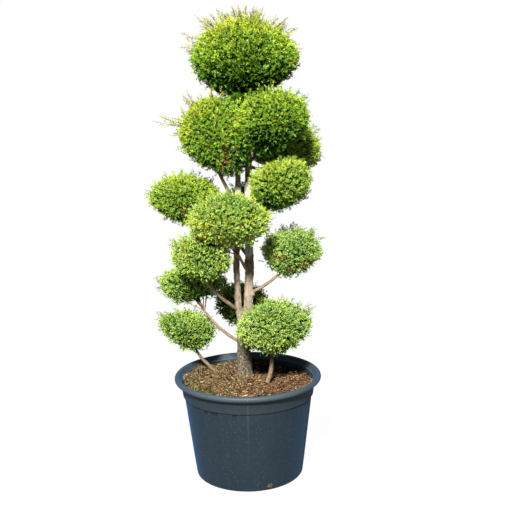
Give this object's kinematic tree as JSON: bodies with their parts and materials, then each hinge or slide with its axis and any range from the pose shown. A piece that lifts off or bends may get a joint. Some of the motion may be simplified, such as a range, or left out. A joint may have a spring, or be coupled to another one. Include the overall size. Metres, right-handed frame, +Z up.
{
  "type": "potted juniper topiary",
  "caption": "Clipped conifer whose rounded foliage pompons stand on upright stems and side boughs, growing in a round rolled-rim nursery pot.",
  "frame": {"origin": "middle of the pot's flat underside", "axes": "+Z up along the stems, -Y towards the side shown in the picture, +X to the right of it"},
  "size_m": [0.7438, 0.7162, 1.9374],
  "materials": {
    "pot": "satin moulded plastic, dark blue-grey",
    "mulch": "loose bark and straw-brown litter over soil",
    "bark": "rough grey-brown fibrous bark",
    "foliage": "dense fresh green scale and needle leaves"
  },
  "bodies": {
    "root": {"pot": "pot", "soil": "mulch", "trunk_main": "bark", "trunk_left": "bark", "bough_upper_left": "bark", "bough_upper_right": "bark", "bough_upper_right_back": "bark", "bough_middle_left": "bark", "bough_middle_right": "bark", "bough_middle_back": "bark", "bough_front": "bark", "bough_low_left": "bark", "bough_low_left_back": "bark", "bough_right": "bark", "bough_low_back": "bark", "stem_foot_left": "bark", "stem_foot_right": "bark", "pompon_crown": "foliage", "pompon_upper_left": "foliage", "pompon_upper_right": "foliage", "pompon_upper_right_back": "foliage", "pompon_upper_left_back": "foliage", "pompon_middle_left": "foliage", "pompon_middle_right": "foliage", "pompon_middle_back": "foliage", "pompon_front": "foliage", "pompon_low_left": "foliage", "pompon_low_left_back": "foliage", "pompon_right": "foliage", "pompon_low_back": "foliage", "pompon_foot_left": "foliage", "pompon_foot_right": "foliage"}
  },
  "joints": []
}
